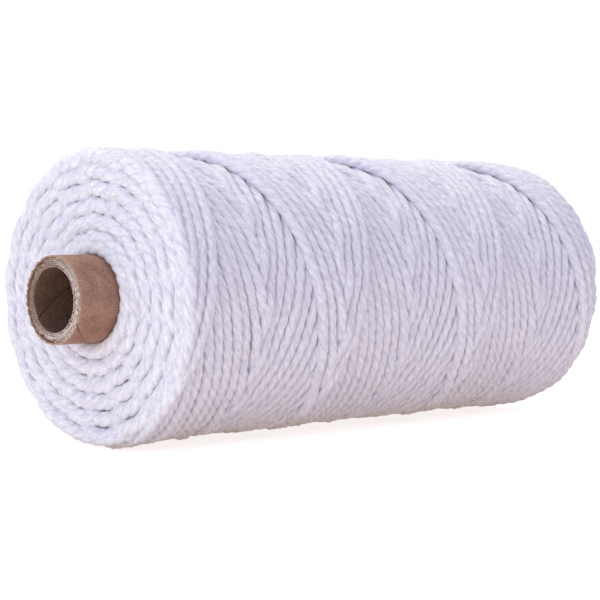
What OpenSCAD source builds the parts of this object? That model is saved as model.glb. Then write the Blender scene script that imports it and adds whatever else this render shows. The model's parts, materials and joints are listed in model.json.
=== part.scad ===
// A spool of thick twisted cotton cord, cross-wound on a spiral paperboard tube.
// Millimetres. The spool lies on its side: its axis is X, Z is up, and the origin is
// the middle of the tube's bore.

/* [Paper tube] */
// Bore of the tube, which slides onto a peg or spindle
tube_bore_d = 22; // [15:0.1:40]
// Length of the tube from cut end to cut end
tube_length = 252; // [230:1:400]
// Thickness of the smooth paper that lines the bore
liner_t = 0.6; // [0.3:0.05:1]
// Thickness of each grey board ply in the wall
board_t = 0.7; // [0.4:0.05:1.2]
// Thickness of the brown kraft wrap outside
wrap_t = 0.6; // [0.3:0.05:1]

/* [Winding] */
// Length of the winding along the tube
winding_length = 222; // [100:1:228]
// What one full layer of crossing cords adds to the radius
layer_t = 6; // [5.2:0.1:8]
// Rounding of the winding's two outer shoulders
shoulder_r = 6; // [2:0.5:6]

/* [Hidden] */

// How many board plies and cord layers the lists above hold
board_plies = 4;
layers = 6;

tube_bore_r = tube_bore_d / 2;
board_inner_r = tube_bore_r + liner_t;
board_outer_r = board_inner_r + board_plies * board_t;
tube_r = board_outer_r + wrap_t;
winding_r = tube_r + layers * layer_t;

// Facets of the round shapes in a preview
$fn = 120;

kraft_brown = [0.64, 0.47, 0.37];
board_grey = [0.66, 0.58, 0.49];
liner_brown = [0.42, 0.33, 0.27];
cotton_white = [0.93, 0.91, 0.96];

// Turns a profile drawn as (radius, place along the spool) about the X axis.
module about_x() {
    rotate([0, 90, 0])
        rotate_extrude()
            children();
}

// Half section of a plain sleeve, centred along the spool.
module sleeve_section(inner_r, outer_r, length) {
    translate([inner_r, -length / 2])
        square([outer_r - inner_r, length]);
}

// One ply of the tube: a paper sleeve as long as the tube.
module tube_ply(inner_r, thickness) {
    about_x()
        sleeve_section(inner_r, inner_r + thickness, tube_length);
}

// Half section of the whole winding: square ends and two rounded shoulders.
module winding_section() {
    flat_r = winding_r - shoulder_r;
    flat_length = winding_length - 2 * shoulder_r;
    sleeve_section(tube_r, flat_r, winding_length);
    sleeve_section(tube_r, winding_r, flat_length);
    for (side = [-1, 1])
        translate([flat_r, side * flat_length / 2])
            circle(r = shoulder_r);
}

module core_inner_liner() {
    color(liner_brown)
        tube_ply(tube_bore_r, liner_t);
}

// Board plies are counted from the bore outwards.
module core_board_ply(count) {
    color(board_grey)
        tube_ply(board_inner_r + (count - 1) * board_t, board_t);
}

module core_outer_wrap() {
    color(kraft_brown)
        tube_ply(board_outer_r, wrap_t);
}

// Cord layers are counted from the tube outwards. Each lies on the one below it.
module winding_layer(count) {
    inner_r = tube_r + (count - 1) * layer_t;
    color(cotton_white)
        about_x()
            intersection() {
                winding_section();
                sleeve_section(inner_r, inner_r + layer_t, winding_length);
            }
}

core_inner_liner();
core_board_ply(1);  // core_board_ply_1
core_board_ply(2);  // core_board_ply_2
core_board_ply(3);  // core_board_ply_3
core_board_ply(4);  // core_board_ply_4
core_outer_wrap();
winding_layer(1);  // winding_layer_1
winding_layer(2);  // winding_layer_2
winding_layer(3);  // winding_layer_3
winding_layer(4);  // winding_layer_4
winding_layer(5);  // winding_layer_5
winding_layer(6);  // winding_layer_6
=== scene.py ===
import json
import math

import bpy
import numpy as np
from mathutils import Matrix, Vector


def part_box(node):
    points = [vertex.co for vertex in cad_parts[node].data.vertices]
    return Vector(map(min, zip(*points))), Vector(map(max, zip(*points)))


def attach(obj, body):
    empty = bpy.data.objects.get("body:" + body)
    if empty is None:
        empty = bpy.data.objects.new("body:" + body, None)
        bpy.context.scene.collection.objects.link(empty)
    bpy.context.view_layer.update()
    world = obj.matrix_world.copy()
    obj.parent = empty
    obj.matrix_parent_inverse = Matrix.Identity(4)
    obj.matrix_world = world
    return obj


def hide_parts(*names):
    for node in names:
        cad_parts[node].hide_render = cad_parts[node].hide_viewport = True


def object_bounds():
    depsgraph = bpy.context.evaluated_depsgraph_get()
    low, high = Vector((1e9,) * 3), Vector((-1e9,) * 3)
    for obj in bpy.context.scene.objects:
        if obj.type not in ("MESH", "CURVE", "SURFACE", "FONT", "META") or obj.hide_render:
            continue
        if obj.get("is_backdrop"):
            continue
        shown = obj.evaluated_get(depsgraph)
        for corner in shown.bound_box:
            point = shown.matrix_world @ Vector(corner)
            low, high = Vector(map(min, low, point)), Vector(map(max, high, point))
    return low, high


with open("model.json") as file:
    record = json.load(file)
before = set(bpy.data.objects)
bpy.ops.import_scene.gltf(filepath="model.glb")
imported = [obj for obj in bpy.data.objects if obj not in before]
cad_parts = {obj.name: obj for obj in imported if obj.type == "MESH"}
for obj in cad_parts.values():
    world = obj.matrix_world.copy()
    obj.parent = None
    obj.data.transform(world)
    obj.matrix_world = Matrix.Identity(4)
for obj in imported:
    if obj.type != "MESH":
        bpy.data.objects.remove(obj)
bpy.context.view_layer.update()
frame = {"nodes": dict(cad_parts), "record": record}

# Shapes are worked out in millimetres, with the tube's axis on X, and scaled to metres at the end.
# An angle round the axis starts at the front, -Y, and grows upwards.
mm = 0.001
fullTurn = 2 * math.pi


def outerRadius(node):
    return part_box(node)[1].z / mm


def halfLength(node):
    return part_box(node)[1].x / mm


plyNodes = ["core_inner_liner", "core_board_ply_1", "core_board_ply_2",
            "core_board_ply_3", "core_board_ply_4", "core_outer_wrap"]
layerNodes = sorted(name for name in frame["nodes"] if name.startswith("winding_layer_"))
boreRadius = next(m for m in frame["record"]["mounts"] if m["name"] == "core_bore")["dims"]["r_mm"]
tubeRadius = outerRadius("core_outer_wrap")
tubeHalf = halfLength("core_outer_wrap")
windingRadius = outerRadius(layerNodes[-1])
windingHalf = halfLength(layerNodes[-1])

view = {
    "turn": 45.19,        # degrees from the front, towards the near end
    "rise": 1.48,         # degrees above the axis
    "distance": 0.6740,   # metres to the middle of the bore
    "lookAside": -0.642,  # degrees that the view is off the middle, sideways and up
    "lookUp": -0.298,
    "tilt": -0.556,       # degrees that the picture leans
    "lens": 105.6,        # mm, for a sensor of 36 mm
    "sensor": 36,
    "clipStart": 0.01,    # metres
}


def rightAndUp(ahead):
    right = ahead.cross(Vector((0, 0, 1))).normalized()
    return right, right.cross(ahead)


def makeCamera(v):
    turn = math.radians(v["turn"])
    rise = math.radians(v["rise"])
    tilt = math.radians(v["tilt"])
    place = v["distance"] * Vector((-math.sin(turn) * math.cos(rise),
                                    -math.cos(turn) * math.cos(rise), math.sin(rise)))
    ahead = -place.normalized()
    right, up = rightAndUp(ahead)
    ahead = (ahead + math.tan(math.radians(v["lookAside"])) * right
             + math.tan(math.radians(v["lookUp"])) * up).normalized()
    right, up = rightAndUp(ahead)
    rightTilted = math.cos(tilt) * right + math.sin(tilt) * up
    upTilted = math.cos(tilt) * up - math.sin(tilt) * right
    axes = Matrix((rightTilted, upTilted, -ahead)).transposed().to_4x4()
    camera = bpy.data.objects.new("camera", bpy.data.cameras.new("camera"))
    bpy.context.scene.collection.objects.link(camera)
    camera.matrix_world = Matrix.Translation(place) @ axes
    camera.data.lens = v["lens"]
    camera.data.sensor_width = v["sensor"]
    camera.data.clip_start = v["clipStart"]
    bpy.context.scene.camera = camera


makeCamera(view)
print("camera placed")


def meshFromArrays(name, points, quads, attributes, caps=None):
    # points in mm; quads has four point numbers a row, caps have as many as a cord has points round it
    mesh = bpy.data.meshes.new(name)
    corners = [quads.reshape(-1)]
    starts = [np.arange(len(quads)) * 4]
    if caps is not None:
        # the caps have points of their own, or they would bend the shading of a cord's last ring
        copied = caps.reshape(-1)
        corners.append(len(points) + np.arange(caps.size))
        starts.append(len(quads) * 4 + np.arange(len(caps)) * caps.shape[1])
        points = np.concatenate([points, points[copied]])
        attributes = {key: np.concatenate([values, values[copied]])
                      for key, values in attributes.items()}
    corners = np.concatenate(corners)
    starts = np.concatenate(starts)
    mesh.vertices.add(len(points))
    mesh.vertices.foreach_set("co", (points * mm).astype(np.float32).reshape(-1))
    mesh.loops.add(len(corners))
    mesh.loops.foreach_set("vertex_index", corners.astype(np.int32))
    mesh.polygons.add(len(starts))
    mesh.polygons.foreach_set("loop_start", starts.astype(np.int32))
    mesh.polygons.foreach_set("use_smooth", np.ones(len(starts), bool))
    for key, values in attributes.items():
        kind, field = ("FLOAT_VECTOR", "vector") if values.ndim == 2 else ("FLOAT", "value")
        layer = mesh.attributes.new(key, kind, "POINT")
        layer.data.foreach_set(field, values.astype(np.float32).reshape(-1))
    mesh.update(calc_edges=True)
    mesh.validate()
    piece = bpy.data.objects.new(name, mesh)
    bpy.context.scene.collection.objects.link(piece)
    return piece


def smoothNoise(count, width, rng):
    # random numbers blurred over a width of samples, about one unit either way
    reach = int(3 * width)
    blur = np.exp(-0.5 * (np.arange(-reach, reach + 1) / width) ** 2)
    raw = rng.standard_normal(count + 2 * reach)
    return np.convolve(raw, blur, "valid") / np.sqrt((blur ** 2).sum())


def roundNoise(angle, lowest, highest, rng):
    # a sum of cosines that closes on itself round the tube, about one unit either way
    waves = np.arange(lowest, highest + 1)
    phase = rng.random(len(waves)) * fullTurn
    size = 1 / np.sqrt(waves)
    total = (size * np.cos(angle[..., None] * waves + phase)).sum(-1)
    return total / np.sqrt((size ** 2).sum() / 2)


winding = {
    "turnsPerPass": 3,       # turns of the tube while the cord runs from end to end
    "cordsPerLead": 17,      # cords that lie side by side in one turn's lead
    "passesPerLayer": 34,    # a full layer is one crossing pair for each of them
    "startAngle": -1.10,     # radians, where the first pass starts
    "turnArc": 0.38,         # radians that the cord takes to turn back at an end
    "breathing": 0.5,        # mm that the turning points wander
    "breathingReach": 0.9,   # radians over which that fades out
    "offCentre": -2.0,       # mm that the crossings lie nearer to the near end
    "stray": 0.07,           # mm that a cord strays sideways
    "strayWidth": 40,        # columns over which it does
    "halfWide": 2.3,         # mm, half the pressed cord's width and height
    "halfHigh": 1.7,
    "footprint": 0.75,       # share of the width that rests on what is below
    "lowest": 0.8,           # share of half the height that a cord's middle keeps from the tube
    "conform": 3.0,          # how much more than a taut line the cord bends into hollows
    "tautReach": 30,         # mm either way that a taut line is worked out over
    "levelling": 0.8,        # how strongly the package is pressed to its radius
    "pressLimits": (-1.0, 6.0),  # mm out of place that this can mend at once
    "targetUnder": 0.5,      # mm that the height map's mean lies under that radius
    "evening": 0.8,          # how strongly a place that is higher than its ring is pressed
    "block": (12, 15),       # rows and columns of the height map that are averaged for that
    "eveningFade": (6, 8),   # mm from an end where that starts, and over which it grows
    "middleReach": 60,       # mm either way of the middle where the radius under a pass is read
    "sink": 1.0,             # mm that a cord sinks into the ones below, and what the last layer adds
    "sinkLast": 0.5,
    "hoopHigh": 2.8,         # mm from the tube to the middle of its first turn at an end
    "shoulders": (3.5, 9.5),  # mm of rounding at the near and the far end
    "ringHold": 0.75,        # how strongly the turns at an end are held to an even spiral
    "ringReach": 7.0,        # mm from the turning point over which that fades
    "ringPast": 0.8,         # mm that the spiral would run past the package's radius
    "ringLimits": (2.2, 3.6),  # mm under that radius where it stops, near and far
    "tailCut": 2.05,         # radians left off the last pass, so that the cord ends behind
    "tailTuck": 3.4,         # mm that the end goes under its neighbours
    "tailReach": 14,         # mm of cord over which it does
    "cell": 0.5,             # mm, the height map's step along the tube
    "columns": 720,          # and its steps round the tube
    "mapMargin": 10,         # mm that the map runs past the winding's ends
    "reachCells": 7,         # cells either way of a cord's middle that it can lie on
    "needBlur": 7,           # columns that these are blurred over: what lies below a cord,
    "lineBlur": 9,           # its taut line and the height map's profile,
    "placeBlur": 61,         # the high places
    "pathBlur": 21,          # and the finished path
    "seed": 4,
}


def boxBlur(values, width):
    return np.convolve(np.pad(values, width // 2, mode="edge"), np.ones(width) / width, "valid")


def tautLine(height, step, radius, w):
    # Closing by a parabola: the lowest line over the bumps that nowhere bends up more sharply than
    # u * u * conform / (2 * radius), as a tight cord bridges a hollow on a drum.
    reach = int(w["tautReach"] / math.sqrt(w["conform"]) / step)
    u = np.arange(-reach, reach + 1) * step
    parabola = u ** 2 * w["conform"] / (2 * radius)
    windows = np.lib.stride_tricks.sliding_window_view
    raised = (windows(np.pad(height, reach, mode="edge"), len(u)) - parabola).max(1)
    return (windows(np.pad(raised, reach, mode="edge"), len(u)) + parabola).min(1)


def placesAbove(height, mapX, w):
    # how far each block of the height map stands above the mean of its ring, blurred round the tube
    # and faded out at the ends, where the cords turn back in steps
    rows, columns = w["block"]
    whole = len(height) // rows * rows
    blocks = height[:whole].reshape(whole // rows, rows, -1, columns).mean((1, 3))
    above = blocks - blocks.mean(1, keepdims=True)
    above = (np.roll(above, 1, 1) + 2 * above + np.roll(above, -1, 1)) / 4
    depth = windingHalf - np.abs(mapX[rows // 2:whole:rows])
    fadeFrom, fadeOver = w["eveningFade"]
    above = above * np.clip((depth - fadeFrom) / fadeOver, 0, 1)[:, None]
    return np.pad(above, ((0, 1), (0, 0)), mode="edge")


def shoulderDrop(mapX, w):
    # how far the rounded shoulders lie under the package's radius
    shoulder = np.where(mapX < 0, *w["shoulders"])
    depthIn = np.clip(np.abs(mapX) - windingHalf + shoulder, 0, None)
    return shoulder - np.sqrt(np.clip(shoulder ** 2 - depthIn ** 2, 0, None))


def passAcross(phi, span, w):
    # from -1 to 1 along the tube: a straight run between two parabolas where the cord turns back
    halfArc = w["turnArc"] / 2
    run = span / 2 - halfArc / 2
    leaving = -run + phi ** 2 / (2 * halfArc)
    arriving = run - (span - phi) ** 2 / (2 * halfArc)
    x = np.where(phi < halfArc, leaving, np.where(phi > span - halfArc, arriving, phi - span / 2))
    return x / run


def windCord(w):
    # Lays the cord pass by pass on a height map of the package. The cord's radius is the taut line
    # over what lies below, pressed towards the radius that the package should have by then.
    rng = np.random.default_rng(w["seed"])
    columns, cell = w["columns"], w["cell"]
    stepAngle = fullTurn / columns
    mapHalf = windingHalf + w["mapMargin"]
    mapX = np.arange(-mapHalf, mapHalf + cell, cell)
    height = np.full((len(mapX), columns), tubeRadius)
    dropHere = shoulderDrop(mapX, w)
    passes = w["passesPerLayer"] * len(layerNodes)
    turns = w["turnsPerPass"] - 0.5 / w["cordsPerLead"]      # so that each pass lies beside an earlier one
    edge = windingHalf - w["halfWide"] - w["breathing"] / 2
    wander = w["breathing"] * (rng.random(passes + 1) - 0.5)
    firstColumn = int(w["startAngle"] / stepAngle)
    across = np.arange(-w["reachCells"], w["reachCells"] + 1)
    hoop = tubeRadius + w["hoopHigh"]
    lowest = w["lowest"] * w["halfHigh"]
    blockRows, blockColumns = w["block"]
    runs = []
    hoops = 0
    for k in range(passes):
        first = round(k * turns * columns)
        count = round((k + 1) * turns * columns) - first
        phi = np.arange(count) * stepAngle
        span = count * stepAngle
        share = passAcross(phi, span, w)
        side = 1 if k % 2 == 0 else -1
        fade = np.exp(-(phi / w["breathingReach"]) ** 2)
        fadeBack = np.exp(-((span - phi) / w["breathingReach"]) ** 2)
        x = side * (share * edge - wander[k] * fade + wander[k + 1] * fadeBack)
        x = x + w["offCentre"] * (1 - share ** 4)
        calm = np.clip(np.minimum(phi, span - phi) / w["turnArc"], 0, 1)
        x = x + w["stray"] * smoothNoise(count, w["strayWidth"], rng) * calm
        if k == passes - 1:
            x = x[:count - int(w["tailCut"] / stepAngle)]
        column = (first + firstColumn + np.arange(len(x))) % columns
        middle = np.median(height[np.abs(mapX) < w["middleReach"]])
        slope = np.gradient(x, stepAngle * middle)
        lean = 1 / np.sqrt(1 + slope ** 2)
        step = middle * stepAngle / lean.mean()
        rows = np.round((x + mapHalf) / cell).astype(int)[:, None] + across
        if k < 2:
            # one turn on the bare tube at either end before its first pass sets off
            beside = np.abs(mapX - x[0]) < w["halfWide"]
            height[beside] = np.maximum(height[beside], hoop + lowest)
            angle = (first + firstColumn + hoops * columns + np.arange(columns)) * stepAngle
            runs.append((np.full(columns, x[0]), np.full(columns, hoop), angle, np.full(columns, k)))
            hoops += 1
        offset = (mapX[rows] - x[:, None]) * lean[:, None] / w["halfWide"]
        arch = w["halfHigh"] * np.sqrt(np.clip(1 - offset ** 2, 0, 1))
        below = height[rows, column[:, None]]
        need = np.where(np.abs(offset) <= w["footprint"], below + arch, 0).max(1)
        radius = boxBlur(tautLine(boxBlur(need, w["needBlur"]), step, middle, w), w["lineBlur"])
        # press the pass towards the radius that the package should have by now
        target = tubeRadius + (windingRadius - tubeRadius) * (k + 1) / passes - w["targetUnder"]
        excess = np.interp(x, mapX, boxBlur(height.mean(1), w["lineBlur"]) - (target - dropHere))
        blocks = rows[:, w["reachCells"]] // blockRows, column // blockColumns
        above = boxBlur(placesAbove(height, mapX, w)[blocks], w["placeBlur"])
        sink = w["sink"] + w["sinkLast"] * max(0, (k - passes) / w["passesPerLayer"] + 1)
        radius = radius - sink - w["levelling"] * np.clip(excess, *w["pressLimits"])
        radius = radius - w["evening"] * above
        radius = np.maximum(radius, tubeRadius + lowest)
        # and near an end hold it to an even spiral
        ring = hoop + (windingRadius + w["ringPast"] - hoop) * (k + phi[:len(x)] / span) / passes
        ring = np.minimum(ring, windingRadius - np.where(x < 0, *w["ringLimits"]))
        hold = w["ringHold"] * np.clip(1 - (edge - np.abs(x)) / w["ringReach"], 0, 1)
        radius = radius + hold * (ring - radius)
        if k == passes - 1:
            toEnd = (len(x) - np.arange(len(x))) * step / w["tailReach"]
            radius = radius - w["tailTuck"] * np.clip(1 - toEnd, 0, 1) ** 2
        laid = np.where(np.abs(offset) < 1, radius[:, None] + arch, 0)
        height[rows, column[:, None]] = np.maximum(below, laid)
        angle = (first + firstColumn + hoops * columns + np.arange(len(x))) * stepAngle
        runs.append((x, radius, angle, np.full(len(x), k)))
    x, radius, angle, passOf = [np.concatenate(parts) for parts in zip(*runs)]
    path = {"x": x, "radius": boxBlur(radius, w["pathBlur"]), "angle": angle, "pass": passOf}
    return path, height, mapX


cordPath, heightMap, mapX = windCord(winding)
outside = heightMap[np.abs(mapX) < winding["middleReach"]].mean()
print(f"winding laid, outside radius {outside:.1f} mm, highest {heightMap.max():.1f} mm")

showing = {
    "sideDepth": 1.2,     # mm that a cord may lie under the surface and still show from the side
    "endDepth": 1.8,      # and from an end
    "endZone": 18,        # mm from an end where a cord can show from there
    "endMap": 70,         # mm, the radius of the map that tells
    "lookAt": np.linspace(-0.9, 0.9, 7),      # places across a cord that are looked at
    "mapFrom": np.linspace(-0.95, 0.95, 9),   # and that the end's map is made from
}


def mapColumn(path, w):
    return np.round(path["angle"] / fullTurn * w["columns"]).astype(int) % w["columns"]


def shownFromSide(path, w, s):
    # a sample shows where some of its width comes within a small depth of the final surface
    rowHere = (path["x"] - mapX[0]) / w["cell"]
    column = mapColumn(path, w)
    shown = np.zeros(len(rowHere), bool)
    for share in s["lookAt"]:
        row = np.round(rowHere + share * w["halfWide"] / w["cell"]).astype(int)
        top = path["radius"] + w["halfHigh"] * math.sqrt(1 - share ** 2)
        shown |= top > heightMap[row, column] - s["sideDepth"]
    return shown


def shownFromEnd(path, w, s, end):
    # the same from an end, with a map of how far out the cord reaches at each radius and angle
    reachOut = end * path["x"]
    near = np.nonzero(reachOut > windingHalf - s["endZone"])[0]
    column = mapColumn(path, w)[near]

    def rowAndReach(share):
        row = np.round((path["radius"][near] + share * w["halfHigh"]) / w["cell"]).astype(int)
        return row, reachOut[near] + w["halfWide"] * math.sqrt(1 - share ** 2)

    depth = np.zeros((int(s["endMap"] / w["cell"]), w["columns"]))
    for share in s["mapFrom"]:
        row, out = rowAndReach(share)
        np.maximum.at(depth, (row, column), out)
    shown = np.zeros(len(reachOut), bool)
    for share in s["lookAt"]:
        row, out = rowAndReach(share)
        shown[near] |= out > depth[row, column] - s["endDepth"]
    return shown


cord = {
    "halfWide": 2.31,      # mm, the strands' own outside, a little over the pressed size
    "halfHigh": 2.12,
    "swell": 0.46,         # how much higher it is where it turns back, free of the pressure
    "swellReach": 5.5,     # mm from the turning point over which that fades
    "strands": 3,
    "lay": 14.0,           # mm in which a strand goes once round
    "handed": 1,           # which way the strands turn, 1 or -1
    "yarnTurn": 0.7,       # how far the yarns turn back against the strands
    "ringStep": 1.25,      # mm between the rings of the mesh
    "around": 18,          # points round the cord
    "grooveDepth": 0.125,  # depth of the grooves between strands, as a share of the cord's radius
    "grooveWidth": 1.5,    # a power, more is narrower
    "unevenTwist": 0.25,   # radians
    "twistWidth": 25,      # rings over which that changes
    "unevenSize": 0.04,    # share of the cord's size
    "sizeWidth": 6,        # rings over which that changes
    "fluff": 0.008,        # share that single points stand in or out
    "fluffLimit": 2,       # and how many times that at most
    "hide": 5.0,           # mm that a stretch runs on under its neighbours
    "restFlat": 1.3,       # mm that the package is pressed flat where it lies
    "restArc": 30,         # degrees either way over which that fades
    "restFrom": 50,        # mm from an end over which it grows
    "endDrop": 0.8,        # mm that the near end's outside hangs down
    "dropReach": 18,       # mm from the end over which that fades
    "mostTriangles": 190000,
    "seed": 11,
}


def strandSection(c):
    # three soft lobes: size = 1 - grooveDepth * ((1 - cos(3 * a)) / 2) ** grooveWidth, where a runs
    # 60 degrees each way from a strand's middle
    strands = c["strands"]
    lobe = np.radians(np.arange(-180 / strands, 180 / strands, 360 / c["around"]))
    groove = (0.5 - 0.5 * np.cos(strands * lobe)) ** c["grooveWidth"]
    angle = np.concatenate([lobe + fullTurn * strand / strands for strand in range(strands)])
    return angle, np.tile(1 - c["grooveDepth"] * groove, strands), np.tile(1 - groove, strands)


def resample(path, c):
    # even steps along the whole cord
    x, radius, angle = path["x"], path["radius"], path["angle"]
    steps = np.sqrt(np.diff(x) ** 2 + np.diff(radius) ** 2 + (np.diff(angle) * radius[1:]) ** 2)
    along = np.concatenate([[0], np.cumsum(steps)])
    even = np.arange(0, along[-1], c["ringStep"])
    sample = np.searchsorted(along, even).clip(0, len(along) - 1)
    onRings = [np.interp(even, along, values) for values in (x, radius, angle)]
    return even, *onRings, sample


def widen(flags, reach):
    return np.convolve(flags.astype(float), np.ones(2 * reach + 1), "same") > 0.5


def unit(v):
    return v / np.linalg.norm(v, axis=-1, keepdims=True)


shown = shownFromSide(cordPath, winding, showing)
for end in (-1, 1):
    shown |= shownFromEnd(cordPath, winding, showing, end)
along, ringX, ringRadius, ringAngle, ringSample = resample(cordPath, cord)
ringShown = widen(shown[ringSample], int(cord["hide"] / cord["ringStep"]))
ringLayer = cordPath["pass"][ringSample] // winding["passesPerLayer"]
shownLength = ringShown.sum() * cord["ringStep"]
print(f"cord {along[-1] * mm:.0f} m long, {shownLength * mm:.0f} m of it shows")


def settle(x, radius, angle, c):
    # the package lies on its side: it is pressed flat underneath, and its near end hangs a little
    fromBottom = np.degrees((angle + 1.5 * math.pi) % fullTurn - math.pi)
    outside = radius / windingRadius
    flat = c["restFlat"] * np.exp(-(fromBottom / c["restArc"]) ** 2) * outside ** 3
    flat = flat * np.clip((windingHalf - np.abs(x)) / c["restFrom"], 0, 1)
    drop = c["endDrop"] * np.exp(-((x + windingHalf) / c["dropReach"]) ** 2) * outside ** 2
    return radius - flat, drop


def cordPieces(c):
    # The section is carried along the cord and turned with the lay, so that the mesh's own lines
    # follow the strands:
    # point = centre + wide * size * cos(turn) * aside + high * size * sin(turn) * lift
    rng = np.random.default_rng(c["seed"])
    outward = np.stack([0 * ringX, -np.cos(ringAngle), np.sin(ringAngle)], -1)
    radius, drop = settle(ringX, ringRadius, ringAngle, c)
    centre = outward * radius[:, None] + np.stack([ringX, 0 * ringX, -drop], -1)
    ahead = unit(np.gradient(centre, axis=0))
    lift = unit(outward - (outward * ahead).sum(-1, keepdims=True) * ahead)
    aside = np.cross(ahead, lift)
    twist = c["handed"] * along / c["lay"] * fullTurn
    twist = twist + c["unevenTwist"] * smoothNoise(len(along), c["twistWidth"], rng)
    yarnTwist = c["handed"] * c["yarnTurn"] * along / c["lay"] * fullTurn
    fat = 1 + c["unevenSize"] * smoothNoise(len(along), c["sizeWidth"], rng)
    rough = rng.standard_normal((len(along), c["around"])).clip(-c["fluffLimit"], c["fluffLimit"])
    fluff = 1 + c["fluff"] * rough
    fromTurn = windingHalf - c["halfWide"] - np.abs(ringX)
    high = c["halfHigh"] * (1 + c["swell"] * np.exp(-(fromTurn / c["swellReach"]) ** 2))
    sectionAngle, sectionSize, sectionTop = strandSection(c)
    around = len(sectionAngle)
    j = np.arange(around)[None, :]
    nextJ = (j + 1) % around
    mostRings = c["mostTriangles"] // (2 * around)
    pieces = []
    for layer, node in enumerate(layerNodes):
        inLayer = ringLayer == layer
        inLayer[1:] |= inLayer[:-1].copy()           # one ring more, to meet the next layer's piece
        use = np.nonzero(ringShown & inLayer)[0]
        starts = range(0, len(use), mostRings)
        for part, start in enumerate(starts):
            rings = use[start:start + mostRings + 1]
            link = np.diff(rings) == 1
            turned = sectionAngle[None, :] + twist[rings][:, None]
            size = sectionSize[None, :] * fat[rings][:, None] * fluff[rings]
            acrossIt = (c["halfWide"] * size * np.cos(turned))[..., None] * aside[rings][:, None, :]
            upIt = (high[rings][:, None] * size * np.sin(turned))[..., None] * lift[rings][:, None, :]
            points = centre[rings][:, None, :] + acrossIt + upIt
            first = np.nonzero(link)[0][:, None] * around
            quads = np.stack([first + j, first + around + j, first + around + nextJ, first + nextJ], -1)
            begins, ends = np.append(True, ~link), np.append(~link, True)
            caps = np.concatenate([np.nonzero(begins)[0][:, None] * around + np.arange(around),
                                   np.nonzero(ends)[0][:, None] * around + np.arange(around)[::-1]])
            yarn = j / around * fullTurn + yarnTwist[rings][:, None]
            place = np.stack([np.cos(yarn), np.sin(yarn), along[rings][:, None] + 0 * yarn], -1)
            attributes = {"yarnPlace": place.reshape(-1, 3),
                          "strandTop": np.tile(sectionTop, len(rings))}
            name = f"cordLayer{layer + 1}" + (f"_{part + 1}" if len(starts) > 1 else "")
            piece = meshFromArrays(name, points.reshape(-1, 3), quads.reshape(-1, 4), attributes, caps)
            pieces.append((piece, node))
            print(name, quads.shape[0] * around * 2, "triangles")
    return pieces


tube = {
    "seamPitch": 92.0,       # mm along the tube for one turn of a spiral seam
    "seams": (-142.6, 60, 120, 180, 240, -33.3),  # degrees, where each ply's seam meets the near end
    "seamWidth": 0.45,       # mm
    "seamColumns": (-0.62, -0.38, 0.38, 0.62),  # seam widths from its middle, where the mesh bends
    "wrapSeamDepth": 0.30,   # mm
    "linerSeamDepth": 0.42,
    "insideSeamShade": 0.6,   # how strong the painted shade in the seams inside is away from the end
    "nickLength": 2.2,       # mm from the end over which the wrap's seam stands open, and over which all seams' painted shade grows
    "cutWander": 0.10,       # mm that a cut end is in or out
    "cutWaves": (2, 9),      # waves round the tube in which it is, from the fewest to the most
    "cutBurr": 0.15,         # and the same in small steps
    "burrWaves": (20, 70),
    "burrInside": 0.4,       # share of that on a ply's inside, which is one more on its outside
    "cutFade": 1.2,          # mm from the end over which all this fades
    "recess": (0.15, 0.40, 0.10, 0.35, 0.45, 0.0),    # mm that each ply's end lies back
    "gap": (0.28, 0.10, 0.14, 0.30, 0.60),            # mm that the plies come apart at the ends
    "gapDepth": 0.9,         # mm
    "gapMean": 0.35,         # share of the gap that is open all round,
    "gapRough": 0.9,         # what comes and goes,
    "gapBehind": 0.75,       # what the back has more,
    "gapMost": 1.3,          # and the most at one place
    "gapWaves": (3, 44),
    "rounding": 0.07,        # mm that the cut's corners are rounded
    "roundingReach": 0.12,
    "unevenThick": 0.015,    # mm that the outer faces stand in or out
    "thickWaves": (6, 40),
    "cutReach": 0.35,        # mm from a cut end over which its look fades
    "paleCutSide": -20,        # degrees, where the cut ends are palest
    "cutDarkMean": 0.5,         # how dark they are,
    "cutDarkSides": 0.55,       # what the far side has more
    "cutDarkPatches": 0.15,     # and what comes and goes
    "endRows": (0, 0.1, 0.25, 0.45, 0.7, 1.0, 1.5, 2.2),  # mm from an end, where the mesh has rows,
    "paperRows": tuple(range(3, 19)),                     # further in on the liner and the wrap
    "boardRows": (4, 8),                                  # and on the board plies
    "middleFrom": 21,        # mm from an end where even rows start
    "paperStep": 3.0,        # mm between those
    "boardStep": 15.0,
    "faceRows": (0.75, 0.5, 0.25),  # shares of a ply's thickness, where a cut face has rows
    "columns": 288,
    "seed": 8,
}


def ringSurface(x, radius, angle):
    # a closed outline, one row a point, carried round the X axis: x, radius * (-cos, sin) of the angle
    points = np.stack([x, -radius * np.cos(angle), radius * np.sin(angle)], -1)
    rows, count = x.shape
    i = np.arange(rows)[:, None] * count
    nextI = (np.arange(rows)[:, None] + 1) % rows * count
    j = np.arange(count)[None, :]
    nextJ = (j + 1) % count
    quads = np.stack([i + j, i + nextJ, nextI + nextJ, nextI + j], -1).reshape(-1, 4)
    return points.reshape(-1, 3), quads


def endNoise(nearEnd, angle, waves, rng):
    # round noise of its own for each cut end
    return np.where(nearEnd, roundNoise(angle, *waves, rng), roundNoise(angle, *waves, rng))


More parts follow.
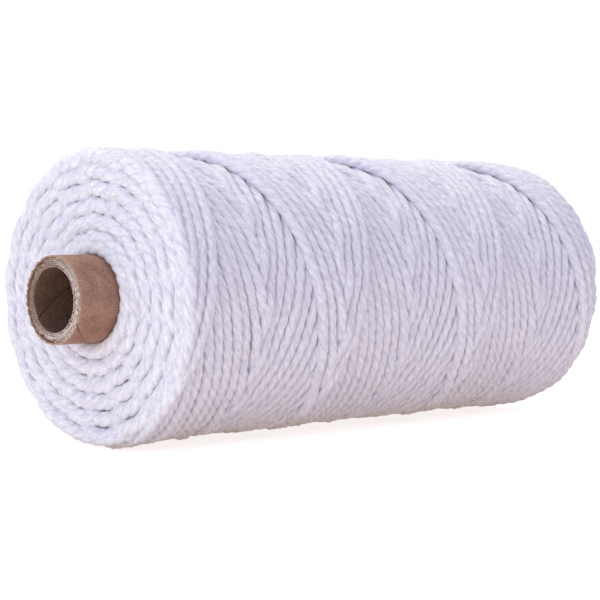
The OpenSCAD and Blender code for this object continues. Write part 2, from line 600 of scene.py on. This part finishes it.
def tubePly(index, t):
    # A sleeve whose outline runs along its outside, over the far end, back inside and over the near
    # end. The columns follow the spiral seam: angle = seam angle - turn * (x + half) / pitch + column.
    rng = np.random.default_rng(t["seed"] + index)
    isLiner = index == 0
    isWrap = index == len(plyNodes) - 1
    isBoard = not (isLiner or isWrap)
    inner = boreRadius if isLiner else outerRadius(plyNodes[index - 1])
    outer = outerRadius(plyNodes[index])
    fromEnd = np.array(t["endRows"] + (t["boardRows"] if isBoard else t["paperRows"]))
    middleHalf = tubeHalf - t["middleFrom"]
    middle = np.arange(-middleHalf, middleHalf + 1, t["boardStep"] if isBoard else t["paperStep"])
    station = np.concatenate([-tubeHalf + fromEnd, middle, (tubeHalf - fromEnd)[::-1]])
    face = np.array(t["faceRows"])
    share = np.concatenate([0 * station + 1, face, 0 * station, face[::-1]])
    rowX = np.concatenate([station, 0 * face + tubeHalf, station[::-1], 0 * face - tubeHalf])
    width = t["seamWidth"] / outer
    plain = np.linspace(width, fullTurn - width, t["columns"])
    column = np.concatenate([np.array(t["seamColumns"]) * width, plain])
    lead = 0 if isBoard else fullTurn / t["seamPitch"]
    angle = math.radians(t["seams"][index]) + column[None, :] - lead * (rowX[:, None] + tubeHalf)
    nearEnd = rowX[:, None] < 0
    depth = np.minimum(rowX + tubeHalf, tubeHalf - rowX)[:, None]
    # both cut ends wander in and out, and the plies come apart there
    cut = endNoise(nearEnd, angle, t["cutWaves"], rng) * t["cutWander"]
    burr = endNoise(nearEnd, angle, t["burrWaves"], rng) * t["cutBurr"]
    lieBack = t["recess"][index] + np.abs(cut) + burr * (t["burrInside"] + share[:, None])
    x = rowX[:, None] + np.where(nearEnd, 1, -1) * lieBack * np.exp(-(depth / t["cutFade"]) ** 2)
    opened = np.zeros_like(angle)
    if not isWrap:
        loose = roundNoise(angle, *t["gapWaves"], rng) * t["gapRough"] - t["gapBehind"] * np.cos(angle)
        opened = t["gap"][index] * np.clip(t["gapMean"] + loose, 0, t["gapMost"])
        opened = opened * np.exp(-(depth / t["gapDepth"]) ** 2)
    nick = np.exp(-(depth / t["nickLength"]) ** 2)
    fromSeam = np.where(column > math.pi, column - fullTurn, column)
    groove = np.exp(-(fromSeam / (0.5 * width)) ** 8)[None, :]     # the power makes its floor flat
    outerSide = outer - opened - (t["wrapSeamDepth"] * groove * (1 + nick) if isWrap else 0)
    innerSide = inner + (t["linerSeamDepth"] * groove if isLiner else 0)
    inside = t["insideSeamShade"]
    # painted shade in the seams: on the wrap only near the end, where it stands open; inside all along and
    # darkest at the end
    paintedSeamShade = groove * (nick if isWrap else inside + (1 - inside) * nick) * np.ones_like(angle)
    rounding = t["rounding"] * np.exp(-depth / t["roundingReach"])
    thickness = t["unevenThick"] * roundNoise(angle, *t["thickWaves"], rng)
    onOutside = outerSide - rounding + (thickness if isWrap else 0)
    onInside = innerSide + rounding - (thickness if isLiner else 0)
    onFace = inner + share[:, None] * (outerSide - inner)
    radius = np.where(share[:, None] == 1, onOutside, np.where(share[:, None] == 0, onInside, onFace))
    points, quads = ringSurface(x, radius, angle)
    around = angle * (outer if isWrap else inner)
    paperPlace = np.stack([rowX[:, None] + 0 * around, around, radius], -1)
    edge = np.exp(-depth / t["cutReach"]) * np.ones_like(angle)
    # the cut ends are darkest away from their pale side
    cutDark = t["cutDarkMean"] - t["cutDarkSides"] * np.cos(angle - math.radians(t["paleCutSide"]))
    cutDark = np.clip(cutDark + t["cutDarkPatches"] * cut / t["cutWander"], 0, 1)
    attributes = {"paperPlace": paperPlace.reshape(-1, 3), "cutEdge": edge.reshape(-1),
                  "cutShade": cutDark.reshape(-1), "seamShade": paintedSeamShade.reshape(-1)}
    name = "tube" + plyNodes[index].removeprefix("core_").title().replace("_", "")
    piece = meshFromArrays(name, points, quads, attributes)
    print(name, len(quads) * 2, "triangles")
    return piece


def newMaterial(name):
    material = bpy.data.materials.new(name)
    material.use_nodes = True
    return material, material.node_tree, material.node_tree.nodes["Principled BSDF"]


def noiseNode(tree, source, stretch, detail, roughness):
    mapping = tree.nodes.new("ShaderNodeMapping")
    mapping.inputs["Scale"].default_value = stretch
    tree.links.new(source, mapping.inputs["Vector"])
    noise = tree.nodes.new("ShaderNodeTexNoise")
    noise.inputs["Scale"].default_value = 1
    noise.inputs["Detail"].default_value = detail
    noise.inputs["Roughness"].default_value = roughness
    tree.links.new(mapping.outputs["Vector"], noise.inputs["Vector"])
    return noise.outputs["Fac"]


def rampNode(tree, source, stops):
    # two stops, each a place and a colour
    ramp = tree.nodes.new("ShaderNodeValToRGB")
    for element, (position, color) in zip(ramp.color_ramp.elements, stops):
        element.position = position
        element.color = (*color, 1)
    tree.links.new(source, ramp.inputs["Fac"])
    return ramp.outputs["Color"]


def bumpNode(tree, height, strength, distance, shader):
    bump = tree.nodes.new("ShaderNodeBump")
    bump.inputs["Strength"].default_value = strength
    bump.inputs["Distance"].default_value = distance
    tree.links.new(height, bump.inputs["Height"])
    tree.links.new(bump.outputs["Normal"], shader.inputs["Normal"])


def mixNode(tree, factor, first, second, blend="MIX"):
    # each input is a socket or a plain value
    mix = tree.nodes.new("ShaderNodeMix")
    mix.data_type = "RGBA"
    mix.blend_type = blend
    for key, value in (("Factor", factor), ("A", first), ("B", second)):
        if isinstance(value, bpy.types.NodeSocket):
            tree.links.new(value, mix.inputs[key])
        else:
            mix.inputs[key].default_value = value
    return mix.outputs["Result"]


def attributeNode(tree, name):
    attribute = tree.nodes.new("ShaderNodeAttribute")
    attribute.attribute_name = name
    return attribute.outputs


# a noise is its stretch, detail and roughness, and a pair of stops is what its values turn into
cottonLook = {
    "streaks": ((1.8, 1.8, 0.42), 3, 0.6),
    "streakStops": ((0.34, (0.75, 0.733, 0.855)), (0.60, (0.89, 0.872, 0.97))),
    "fibres": ((6.0, 6.0, 0.4), 4, 0.7),
    "fibreStops": ((0.38, (0.82, 0.82, 0.84)), (0.56, (1.0, 1.0, 1.0))),
    "grooveShadeStops": ((0.0, (0.89, 0.88, 0.91)), (0.35, (1.0, 1.0, 1.0))),
    "fibreRelief": 0.45,    # the fibres' share of the bump
    "bump": 0.8,
    "bumpHeight": 0.0006,   # metres
    "roughness": 0.9,
    "specular": 0.2,
    "sheen": 0.25,
    "sheenRoughness": 0.5,
}


def cottonMaterial(look):
    # colour = yarn streaks * fine fibres * painted groove shade; streaks and fibres are noise stretched
    # along the yarns, and the painted groove shade follows the distance from a strand's middle; both
    # noises bump
    material, tree, shader = newMaterial("cottonCord")
    place = attributeNode(tree, "yarnPlace")["Vector"]
    strandTop = attributeNode(tree, "strandTop")["Fac"]
    streaks = noiseNode(tree, place, *look["streaks"])
    fibres = noiseNode(tree, place, *look["fibres"])
    color = rampNode(tree, streaks, look["streakStops"])
    color = mixNode(tree, 1.0, color, rampNode(tree, fibres, look["fibreStops"]), "MULTIPLY")
    # painted shade: the grooves between the strands are darkened
    color = mixNode(tree, 1.0, color, rampNode(tree, strandTop, look["grooveShadeStops"]), "MULTIPLY")
    tree.links.new(color, shader.inputs["Base Color"])
    relief = mixNode(tree, look["fibreRelief"], streaks, fibres)
    bumpNode(tree, relief, look["bump"], look["bumpHeight"], shader)
    shader.inputs["Roughness"].default_value = look["roughness"]
    shader.inputs["Specular IOR Level"].default_value = look["specular"]
    shader.inputs["Sheen Weight"].default_value = look["sheen"]
    shader.inputs["Sheen Roughness"].default_value = look["sheenRoughness"]
    return material


paperLook = {
    "fibres": ((0.9, 2.2, 1.0), 6, 0.75),
    "fibrePlaces": (0.3, 0.68),    # noise values that turn into the dark and the pale colour
    "blotches": ((0.13, 0.13, 0.13), 3, 0.6),
    "blotchStops": ((0.35, (0.80, 0.78, 0.76)), (0.65, (1.18, 1.17, 1.16))),
    "specks": ((2.4, 3.2, 1.0), 2, 0.5),
    "speckStops": ((0.32, (0.50, 0.45, 0.43)), (0.42, (1.0, 1.0, 1.0))),
    "grit": ((2.2, 2.2, 3.0), 4, 0.75),
    "gritStops": ((0.40, (0.30, 0.27, 0.26)), (0.53, (1.0, 1.0, 1.0))),
    # the colour of the painted shade in the seams
    "seamShadeColor": (0.03, 0.02, 0.012),
    "gritRelief": 0.5,      # the grit's share of the bump
    "bump": 0.6,
    "bumpHeight": 0.0004,   # metres
    "roughness": 0.8,
    "specular": 0.35,
}
paperColors = {
    "kraftWrap": {"dark": (0.21, 0.105, 0.075), "pale": (0.47, 0.275, 0.20),
                  "cut": (0.55, 0.40, 0.31), "cutDark": (0.40, 0.26, 0.19)},
    "greyBoard": {"dark": (0.50, 0.42, 0.36), "pale": (0.66, 0.57, 0.50),
                  "cut": (0.76, 0.63, 0.60), "cutDark": (0.33, 0.23, 0.18)},
    "linerPaper": {"dark": (0.04, 0.014, 0.008), "pale": (0.30, 0.17, 0.125),
                   "cut": (0.62, 0.52, 0.50), "cutDark": (0.30, 0.20, 0.15)},
}


def paperMaterial(name, look):
    # colour = fibres stretched round the tube, with broad blotches and small specks over them; cutEdge
    # mixes in the rough cut end, which goes from its own colour to a darker one with cutShade and has grit
    # over it; seamShade paints shade into the seam where it stands open; fibres and grit bump
    material, tree, shader = newMaterial(name)
    paper = paperColors[name]
    place = attributeNode(tree, "paperPlace")["Vector"]
    fibres = noiseNode(tree, place, *look["fibres"])
    blotches = noiseNode(tree, place, *look["blotches"])
    specks = noiseNode(tree, place, *look["specks"])
    grit = noiseNode(tree, place, *look["grit"])
    color = rampNode(tree, fibres, tuple(zip(look["fibrePlaces"], (paper["dark"], paper["pale"]))))
    color = mixNode(tree, 1.0, color, rampNode(tree, blotches, look["blotchStops"]), "MULTIPLY")
    color = mixNode(tree, 1.0, color, rampNode(tree, specks, look["speckStops"]), "MULTIPLY")
    cut = mixNode(tree, attributeNode(tree, "cutShade")["Fac"], (*paper["cut"], 1), (*paper["cutDark"], 1))
    cut = mixNode(tree, 1.0, cut, rampNode(tree, grit, look["gritStops"]), "MULTIPLY")
    color = mixNode(tree, attributeNode(tree, "cutEdge")["Fac"], color, cut)
    # painted shade in the open seams
    color = mixNode(tree, attributeNode(tree, "seamShade")["Fac"], color, (*look["seamShadeColor"], 1))
    tree.links.new(color, shader.inputs["Base Color"])
    relief = mixNode(tree, look["gritRelief"], fibres, grit)
    bumpNode(tree, relief, look["bump"], look["bumpHeight"], shader)
    shader.inputs["Roughness"].default_value = look["roughness"]
    shader.inputs["Specular IOR Level"].default_value = look["specular"]
    return material


cotton = cottonMaterial(cottonLook)
kraft = paperMaterial("kraftWrap", paperLook)
board = paperMaterial("greyBoard", paperLook)
liner = paperMaterial("linerPaper", paperLook)

for piece, node in cordPieces(cord):
    piece.data.materials.append(cotton)
    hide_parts(node)
    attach(piece, "root")
print("cord made")

for index, material in enumerate([liner, board, board, board, board, kraft]):
    piece = tubePly(index, tube)
    piece.data.materials.append(material)
    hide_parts(plyNodes[index])
    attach(piece, "root")
print("tube made")

# the wound cord under what shows, a plain sleeve
heart = {
    "under": 7,      # mm that it stays under the winding's outside and ends
    "inside": 0.1,   # mm that it stays off the tube
    "columns": 96,
}
heartCorners = np.array([(1, 0), (1, 1), (-1, 1), (-1, 0)])     # which end, and inside or outside
heartEnd, heartSide = heartCorners[:, :1], heartCorners[:, 1:]
heartX = heartEnd * (windingHalf - heart["under"]) * np.ones((1, heart["columns"]))
heartInside = tubeRadius + heart["inside"]
heartOutside = windingRadius - heart["under"]
heartRadius = np.where(heartSide > 0, heartOutside, heartInside) + 0 * heartX
heartAngle = np.arange(heart["columns"]) / heart["columns"] * fullTurn + 0 * heartX
points, quads = ringSurface(heartX, heartRadius, heartAngle)
heartPiece = meshFromArrays("windingHeart", points, quads, {"yarnPlace": points})
heartPiece.data.materials.append(cotton)
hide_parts(*layerNodes)
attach(heartPiece, "root")
print("heart made")

lighting = {
    "floorHalf": 3.0,                   # metres
    "floorColor": (0.80, 0.76, 0.74),
    "floorLight": (0.285, 0.23, 0.16),  # what the floor sends up to the spool
    "floorSeen": (0.68, 0.68, 0.68),    # and to the camera
    "worldColor": (0.82, 0.82, 1.0),
    "world": 0.79,
    "worldSeen": (1.0, 1.0, 1.0),
    "over": {"place": (0.0, 0.25, 0.9), "size": 0.5, "power": 5.0, "color": (1, 0.94, 0.70)},
    "nearEnd": {"place": (-1.0, -0.20, 0.10), "size": 0.8, "power": 4.7, "color": (0.87, 1, 0.93)},
}


def makeFloor(level, l):
    # a matt paper that glows a little, so that it bounces light up and looks white
    half = l["floorHalf"]
    mesh = bpy.data.meshes.new("floor")
    corners = [(-half, -half, level), (half, -half, level), (half, half, level), (-half, half, level)]
    mesh.from_pydata(corners, [], [(0, 1, 2, 3)])
    floor = bpy.data.objects.new("floor", mesh)
    bpy.context.scene.collection.objects.link(floor)
    material, tree, shader = newMaterial("floorPaper")
    shader.inputs["Base Color"].default_value = (*l["floorColor"], 1)
    shader.inputs["Roughness"].default_value = 1
    shader.inputs["Specular IOR Level"].default_value = 0
    shader.inputs["Emission Strength"].default_value = 1
    path = tree.nodes.new("ShaderNodeLightPath")
    glow = mixNode(tree, path.outputs["Is Camera Ray"], (*l["floorLight"], 1), (*l["floorSeen"], 1))
    tree.links.new(glow, shader.inputs["Emission Color"])
    floor.data.materials.append(material)
    floor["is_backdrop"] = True


def makeWorld(l):
    # one colour lights the spool, and another is seen behind it
    world = bpy.data.worlds.new("world")
    bpy.context.scene.world = world
    world.use_nodes = True
    tree = world.node_tree
    tree.nodes.clear()
    out = tree.nodes.new("ShaderNodeOutputWorld")
    mix = tree.nodes.new("ShaderNodeMixShader")
    path = tree.nodes.new("ShaderNodeLightPath")
    tree.links.new(path.outputs["Is Camera Ray"], mix.inputs["Fac"])
    for socket, color, strength in ((1, l["worldColor"], l["world"]), (2, l["worldSeen"], 1)):
        background = tree.nodes.new("ShaderNodeBackground")
        background.inputs["Color"].default_value = (*color, 1)
        background.inputs["Strength"].default_value = strength
        tree.links.new(background.outputs[0], mix.inputs[socket])
    tree.links.new(mix.outputs[0], out.inputs["Surface"])


def areaLight(name, l):
    lamp = bpy.data.objects.new(name, bpy.data.lights.new(name, "AREA"))
    lamp.data.shape = "SQUARE"
    lamp.data.size = l["size"]
    lamp.data.energy = l["power"]
    lamp.data.color = l["color"]
    lamp.location = l["place"]
    lamp.rotation_euler = (-Vector(l["place"])).to_track_quat("-Z", "Y").to_euler()
    bpy.context.scene.collection.objects.link(lamp)


makeFloor(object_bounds()[0].z, lighting)
makeWorld(lighting)
areaLight("overLight", lighting["over"])
areaLight("nearEndLight", lighting["nearEnd"])
print("floor and lights made")

bpy.context.scene.view_settings.view_transform = "Standard"
